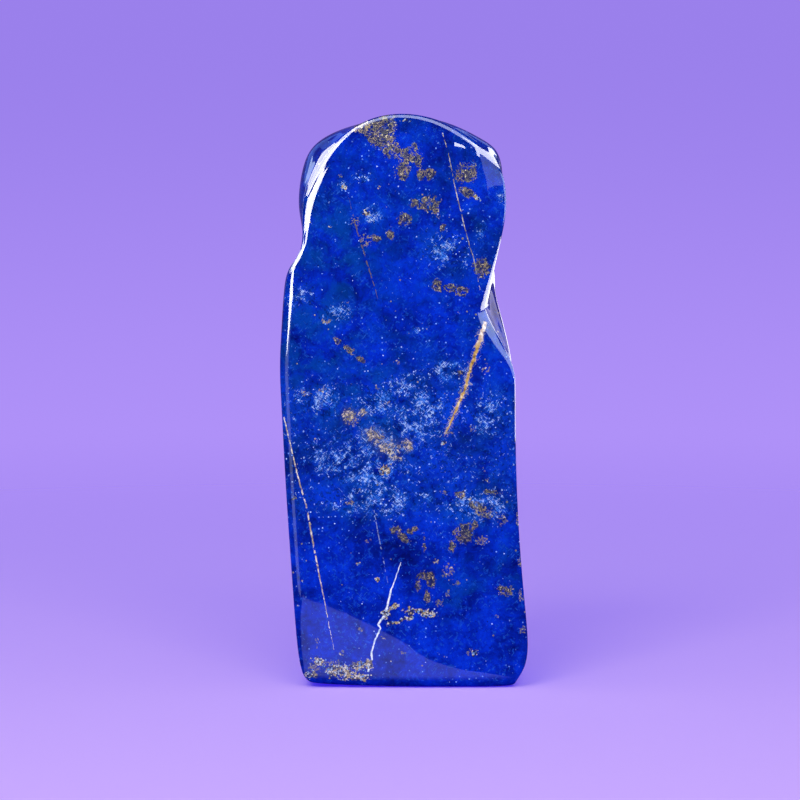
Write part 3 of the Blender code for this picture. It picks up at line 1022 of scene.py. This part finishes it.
def cracked(tree, rock, place, inward):
    """The cracks over the rock, from the thin ones to the wide ones."""
    mottle = cloud(tree, place, 1.6)
    tan = tinted(tree, mottle, 0.42, 0.60, (0.20, 0.18, 0.11), (0.56, 0.53, 0.40))
    cream = tinted(tree, mottle, 0.40, 0.56, (0.34, 0.27, 0.15), (0.80, 0.74, 0.54))
    white = tinted(tree, mottle, 0.35, 0.52, (0.35, 0.52, 0.62), (0.78, 0.86, 0.88))
    gold = tinted(tree, mottle, 0.36, 0.52, (0.22, 0.13, 0.03), (0.50, 0.32, 0.09))
    # Pale yellow spots on the gold are painted glints.
    gold = over(tree, smooth(tree, cloud(tree, place, 1.0, 1.0), 0.56, 0.68), gold, GLINT_YELLOW)
    for path, tint, wander, broken, strength in (
            (BROWN_CRACK, BROWN, 0.5, 0.42, 0.85), (CENTRE_CRACK, SLATE, 0.4, 0.44, 0.75),
            (UPPER_CRACK, tan, 0.3, 0.40, 0.9), (LEFT_CRACK, cream, 0.4, 0.38, 0.9),
            (WHITE_CRACK, white, 0.6, 0.0, 1.0)):
        line = crack(tree, inward, path, wander, broken)[0]
        rock = painted(tree, rock, line, strength, tint)

    line, away, here = crack(tree, inward, GOLD_CRACK, 1.0, ragged=0.85)
    beside = times(tree, smooth(tree, away, 3.4, 0.4), here)
    feathers = use(tree, STROKES, place, 2.1, 0.22, between(tree, beside, -0.25, 0.78))
    straw = tinted(tree, mottle, 0.42, 0.58, (0.20, 0.28, 0.50), (0.54, 0.47, 0.32))
    rock = painted(tree, rock, feathers, 0.85, straw)
    ripe = smooth(tree, height_of(tree, inward), RIPE_FROM, RIPE_TO)
    pinkish = tinted(tree, mottle, 0.40, 0.58, (0.50, 0.36, 0.24), (0.88, 0.80, 0.66))
    return over(tree, line, rock, over(tree, ripe, gold, pinkish))


print("the gold crack turns pinkish above", RIPE_FROM, "mm")

# %% [markdown]
# Chips of calcite
#
# At the foot of the white crack, and in a crust at the lower left, the rock is broken into small
# angular chips of cream, pale blue and gold. A Voronoi texture gives the chips.

# %% Chips
CHIP_SIZE = 0.58
CHIP_TINTS = [(0.0, (0.60, 0.57, 0.45)), (0.24, (0.38, 0.48, 0.56)), (0.38, (0.40, 0.31, 0.14)),
              (0.56, (0.15, 0.13, 0.12)), (0.66, (0.12, 0.27, 0.56)), (0.74, (0.01, 0.02, 0.12))]
CHIP_GAP = 0.03, 0.03, 0.06


def chipped(tree, rock, place, inward):
    """Angular chips with dark gaps."""
    near = nearest(tree, stirred(tree, inward, 1.6, 1.8), CHIPS)
    body = smooth(tree, bitten(tree, near, place, 0.9, 2.6), 1.06, 0.94)
    shaken = stirred(tree, place, 0.8, 0.6)
    cells, walls = (add(tree, "TexVoronoi", {"Vector": shaken, "Scale": 1.0 / CHIP_SIZE},
                        feature=feature).outputs for feature in ("F1", "DISTANCE_TO_EDGE"))
    random = add(tree, "SeparateColor", {"Color": cells["Color"]}).outputs
    chips = ramp(tree, random["Red"], CHIP_TINTS, "CONSTANT")
    chips = painted(tree, chips, smooth(tree, walls["Distance"], 0.10, 0.03), 0.85, CHIP_GAP)
    return over(tree, body, rock, chips)


print("chips are", CHIP_SIZE, "mm wide, in", len(CHIP_TINTS), "colours")

# %% [markdown]
# The polish
#
# All the layers meet in one material. The rock itself is dull; the shine is a clear coat, like
# the wax and fine grit of the last polishing wheel. Pyrite is a little metallic under it.

# %% Put the rock together
def new_material(name):
    """A material with its nodes and their tree."""
    material = bpy.data.materials.new(name)
    material.use_nodes = True
    return material, material.node_tree


def polished_lapis():
    """Ultramarine rock, its markings and a hand polish."""
    material, tree = new_material("polished_lapis")
    place, inward = rock_places(tree)
    rock = blue_rock(tree, place, inward)
    rock = frosted(tree, rock, place, inward)
    rock = gold_dusted(tree, rock, place, inward)
    body, flecks, netted, brass_and_glints = pyrite(tree, place, inward)
    # The flecks take the brassy colour with its painted glints.
    rock = painted(tree, rock, flecks, 0.92, brass_and_glints)
    rock = over(tree, body, rock, netted)
    rock = cracked(tree, rock, place, inward)
    rock = chipped(tree, rock, place, inward)
    metal = times(tree, sums(tree, "MAXIMUM", body, flecks), 0.25)
    for name, value in {"Base Color": rock, "Metallic": metal, "Roughness": 0.42,
                        "Specular IOR Level": 0.0, "Coat Weight": 1.0, "Coat Roughness": 0.02,
                        "Coat IOR": 1.5}.items():
        plug(tree, tree.nodes["Principled BSDF"].inputs[name], value)
    return material


rock_material = polished_lapis()
stone.data.materials.append(rock_material)
print(len(rock_material.node_tree.nodes), "nodes in the rock")

# %% [markdown]
# A small studio
#
# The photograph has a lilac backdrop that runs into a lilac table. In a real studio that is one
# sheet of paper, bent in a wide curve. Here the floor fades with distance into a coloured world,
# which needs no curve and never shows a horizon.

# %% The floor
FLOOR_SIZE = 4000.0
FADE_FROM, FADE_TO = 200.0, 950.0


def staged(name, shape):
    """A bmesh as a piece of the studio."""
    mesh = bpy.data.meshes.new(name)
    shape.to_mesh(mesh)
    shape.free()
    piece = new_object(name, mesh)
    return piece


def flat_sheet(name, width, length, rows=1):
    """A flat rectangular sheet centred on the origin."""
    sheet = bmesh.new()
    bmesh.ops.create_grid(sheet, x_segments=1, y_segments=rows, size=0.5)
    bmesh.ops.scale(sheet, vec=(width * MM, length * MM, 1.0), verts=sheet.verts)
    return staged(name, sheet)


def make_floor():
    """A pale floor that fades into the backdrop, with a painted blue glow of its own."""
    floor = flat_sheet("floor", FLOOR_SIZE, FLOOR_SIZE)
    material, tree = new_material("pale_floor")
    shader = tree.nodes["Principled BSDF"]
    # The blue emission is painted light: the floor glows blue of its own, so that it stays blue in
    # its shade.
    for name, value in {"Base Color": (0.56, 0.40, 0.34), "Roughness": 0.8,
                        "Specular IOR Level": 0.0, "Emission Color": (0.03, 0.01, 0.66),
                        "Emission Strength": 1.0}.items():
        plug(tree, shader.inputs[name], value)
    reach = vectors(tree, "LENGTH", add(tree, "TexCoord").outputs["Object"])
    fade = smooth(tree, reach, FADE_FROM * MM, FADE_TO * MM)
    clear = add(tree, "BsdfTransparent").outputs[0]
    blend = add(tree, "MixShader", {0: fade, 1: shader.outputs[0], 2: clear})
    tree.links.new(blend.outputs[0], tree.nodes["Material Output"].inputs["Surface"])
    floor.data.materials.append(material)
    floor.visible_glossy = False
    return floor


floor = make_floor()
print("the floor is", [round(v, 2) for v in floor.dimensions], "m")

# %% [markdown]
# Lamps and windows
#
# Lamps in front light the rock. The polish is a mirror, so each bright shape in it is a window
# with its own place and size: a row of them at the left, one high up in front, and more at the
# upper right corner and around the notch. A window is given by the angles at which the polish
# sees it. Where a reflection has slanting sides, the light is a pane with corners of its own.

# %% Kinds of light
WHITE, PALE_BLUE, PALE_LILAC = (1.0, 1.0, 1.0), (0.62, 0.78, 1.0), (0.8, 0.75, 1.0)
HAZE_BLUE, RIM_BLUE, SKY_BLUE = (0.80, 0.92, 1.0), (0.20, 0.42, 1.0), (0.74, 0.82, 1.0)
FAR, NEAR = 700.0, 155.0


def seen_from(centre, azimuth, elevation, distance):
    """The place this far from the centre; azimuth 0 is towards the camera, + is to the right."""
    across, up = math.radians(azimuth), math.radians(elevation)
    ray = Vector((math.sin(across) * math.cos(up), -math.cos(across) * math.cos(up), math.sin(up)))
    return Vector(centre) + ray * distance


def softbox(name, place, aim, size, radiance, tint=WHITE, mirror=True, body=False, roll=0.0):
    """A rectangular light; the polish sees it if mirror is set, the rock if body is set."""
    data = bpy.data.lights.new(name, "AREA")
    data.shape = "RECTANGLE"
    data.size, data.size_y = size[0] * MM, size[1] * MM
    data.energy = radiance * math.pi * data.size * data.size_y
    data.color = tint
    light = new_object(name, data)
    light.location = Vector(place) * MM
    light.rotation_mode = "QUATERNION"
    facing = (Vector(aim) - Vector(place)).to_track_quat("-Z", "Y")
    light.rotation_quaternion = facing @ Quaternion((0.0, 0.0, 1.0), math.radians(roll))
    light.visible_camera = False
    light.visible_glossy = mirror
    light.visible_diffuse = body
    return light


def window(name, centre, azimuth, elevation, half_width, half_height, radiance, tint=WHITE,
           distance=FAR, roll=0.0):
    """A softbox that only the polish sees, given by the angles that it covers."""
    size = [2.0 * distance * math.tan(math.radians(half)) for half in (half_width, half_height)]
    place = seen_from(centre, azimuth, elevation, distance)
    return softbox(name, place, centre, size, radiance, tint, roll=roll)


def glowing(piece, tint, radiance):
    """Make a sheet glow so that only the polish sees it; returns its nodes and the glow."""
    material, tree = new_material(piece.name)
    glow = add(tree, "Emission", {"Color": tint, "Strength": radiance})
    tree.links.new(glow.outputs[0], tree.nodes["Material Output"].inputs["Surface"])
    piece.data.materials.append(material)
    piece.visible_camera = piece.visible_diffuse = piece.visible_shadow = False
    return tree, glow


def pane(name, centre, corners, radiance, tint=WHITE, distance=FAR):
    """A glowing sheet that only the polish sees, with its corners given by their angles."""
    outline = bmesh.new()
    for corner in corners:
        bmesh.ops.create_vert(outline, co=seen_from(centre, *corner, distance) * MM)
    bmesh.ops.contextual_create(outline, geom=outline.verts[:])
    piece = staged(name, outline)
    glowing(piece, tint, radiance)
    return piece


print("most windows stand", FAR, "mm from the place that mirrors them")

# %% The windows and the lamps
SHOULDER, WAIST, SIDE = (-30.0, 0.0, 150.0), (-35.0, -15.0, 122.0), (-36.0, -18.0, 75.0)
DIP, CORNER, NOTCH = (-29.0, -17.0, 146.0), (30.0, -16.0, 163.0), (28.0, -12.0, 118.0)
MIDDLE, LAMP_SIZE = (0.0, 0.0, 90.0), (560.0, 560.0)

window("left_low", WAIST, -27.0, 8.9, 2.0, 14.2, 26.0, roll=49.0)
window("left_front", SHOULDER, -49.0, 29.0, 10.5, 14.0, 24.0)
window("left_middle", SHOULDER, -73.0, 30.0, 11.0, 14.0, 18.0)
window("left_side", SHOULDER, -97.0, 32.0, 10.5, 12.0, 12.0)
window("left_top", SHOULDER, -62.0, 54.0, 20.0, 9.0, 16.0)
window("left_back", SHOULDER, -131.0, 30.0, 15.0, 14.0, 1.6, RIM_BLUE)
window("left_waist", DIP, -35.0, 10.5, 15.0, 7.5, 24.0, distance=100.0)
window("left_streak", SHOULDER, -114.0, 14.0, 2.0, 13.0, 6.0, PALE_BLUE)
window("left_glow", SIDE, -17.5, -3.0, 2.8, 7.0, 1.7, HAZE_BLUE)
window("corner_side", CORNER, 73.0, 39.5, 32.0, 8.5, 16.0)
pane("corner_front", CORNER, [(11.0, 12.0), (26.0, 29.5), (41.0, 44.5), (41.0, 31.0),
                              (36.0, 27.5), (22.0, 19.5)], 16.0)
window("corner_back", CORNER, 125.0, 42.0, 16.0, 14.0, 2.0, PALE_BLUE)
pane("corner_haze", CORNER, [(4.7, -2.6), (5.0, 3.4), (8.8, 10.8), (14.0, 18.4), (19.4, 24.1),
                             (47.4, 29.2), (46.0, 5.9), (23.5, 1.3), (10.0, -1.2)],
     1.6, HAZE_BLUE, NEAR)
pane("corner_dash", CORNER, [(-0.4, 9.9), (1.1, 13.2), (5.7, 16.0), (4.1, 12.6)], 18.0,
     distance=NEAR)
window("notch_side", NOTCH, 66.0, 15.0, 30.0, 15.0, 7.0, PALE_BLUE, distance=300.0)
window("notch_edge", NOTCH, 105.0, 12.0, 6.0, 14.0, 10.0, distance=300.0)
window("notch_back", NOTCH, 126.0, 12.0, 12.0, 14.0, 2.2, PALE_LILAC, distance=300.0)
window("notch_low", NOTCH, 98.0, -11.5, 44.0, 7.0, 14.0, distance=150.0)
window("notch_far", NOTCH, 155.0, -6.0, 14.0, 8.0, 3.0, distance=150.0)
softbox("overhead", (100.0, -850.0, 980.0), (100.0, -850.0, 0.0), (1200.0, 900.0), 9.0, SKY_BLUE)
softbox("key", (-380.0, -950.0, 850.0), MIDDLE, LAMP_SIZE, 7.0, mirror=False, body=True)
softbox("fill", (240.0, -1000.0, 720.0), MIDDLE, LAMP_SIZE, 4.5, mirror=False, body=True)

# %% [markdown]
# The table in the polish
#
# The foot of the face mirrors the table, which hazes it with lilac. The floor itself is hidden
# from the polish, so that a glowing sheet with the outline of that haze can stand in for it.

# %% The bright part of the table
TABLE_LEFT = [(-290.0, -93.0), (-262.0, -93.0), (-227.0, -93.0), (-200.0, -93.0),
              (-167.0, -87.0), (-135.0, -79.0), (-100.0, -69.0), (-60.0, -52.0), (-34.0, -42.0),
              (-24.0, -38.0), (200.0, -38.0)]
TABLE_RIGHT = [-50.0, -30.0, -17.0, -9.0, 1.0, 8.0, 14.0, 20.0, 30.0, 36.0, 36.0]
TABLE_LILAC, TABLE_RADIANCE, TABLE_LEVEL = (0.40, 0.46, 1.0), 1.9, 0.2
SHINE_STARTS, SHINE_IS_FULL = (-42.0, -22.0), (-56.0, -34.0)


def make_table_shine():
    """A pale sheet on the table that only the polish sees; it hazes the foot of the face."""
    sheet = flat_sheet("table_shine", 500.0, 500.0, len(TABLE_LEFT) - 1)
    rows = sorted(sheet.data.vertices, key=lambda corner: (round(corner.co.y, 5), corner.co.x))
    for index, ((y, from_x), to_x) in enumerate(zip(TABLE_LEFT, TABLE_RIGHT)):
        for corner, x in zip(rows[2 * index:], (from_x, to_x)):
            corner.co = Vector((x, y, TABLE_LEVEL)) * MM
    tree, glow = glowing(sheet, TABLE_LILAC, TABLE_RADIANCE)
    places = add(tree, "SeparateXYZ", {0: add(tree, "TexCoord").outputs["Object"]}).outputs
    leftwards, forwards = (smooth(tree, place, start * MM, end * MM) for place, start, end
                           in zip(places, SHINE_STARTS, SHINE_IS_FULL))
    clear = sums(tree, "MAXIMUM", leftwards, forwards)
    plug(tree, glow.inputs["Strength"], times(tree, clear, TABLE_RADIANCE))
    return sheet


table_shine = make_table_shine()
print("the table's shine is", [round(v, 2) for v in table_shine.dimensions], "m")

# %% [markdown]
# The backdrop
#
# One world does three jobs, told apart by the kind of ray that meets it: lilac paper for the
# camera, with painted shading that makes it darker high up and lighter low down, soft light for the
# rock and a dim room for the polish.

# %% The world
PAPER_SHADED_HIGH, PAPER_LIT_LOW = (0.325, 0.217, 0.835), (0.437, 0.289, 0.948)
LAMP_FRONT, LAMP_BACK = (0.66, 0.65, 0.70), (0.22, 0.21, 0.27)
ROOM_FRONT, ROOM_BACK = (0.016, 0.012, 0.030), (0.15, 0.10, 0.34)
PAPER_TURN, ROOM_TURN = (0.03, -0.11), (-0.5, 0.5)


def make_world():
    """A lilac backdrop for the camera, painted darker high up as shade, even light for the rock,
    and a dim room for the polish.
    """
    world = bpy.data.worlds.new("studio")
    bpy.context.scene.world = world
    world.use_nodes = True
    tree = world.node_tree
    tree.nodes.clear()
    path = add(tree, "LightPath").outputs
    ray = add(tree, "SeparateXYZ", {0: add(tree, "TexCoord").outputs["Generated"]}).outputs
    # Painted shading: the paper is darker high up and lighter towards the bottom.
    lower = smooth(tree, ray["Z"], *PAPER_TURN)
    behind = smooth(tree, ray["Y"], *ROOM_TURN)
    seen, even, room = (
        add(tree, "Background", {"Color": over(tree, share, *tints)}).outputs[0]
        for share, tints in ((lower, (PAPER_SHADED_HIGH, PAPER_LIT_LOW)), (behind, (LAMP_FRONT, LAMP_BACK)),
                             (behind, (ROOM_FRONT, ROOM_BACK))))
    lit = add(tree, "MixShader", {0: path["Is Glossy Ray"], 1: even, 2: room}).outputs[0]
    whole = add(tree, "MixShader", {0: path["Is Camera Ray"], 1: lit, 2: seen}).outputs[0]
    add(tree, "OutputWorld", {"Surface": whole})
    return world


make_world()
bpy.context.scene.view_settings.view_transform = "Standard"
print("the backdrop is lilac")
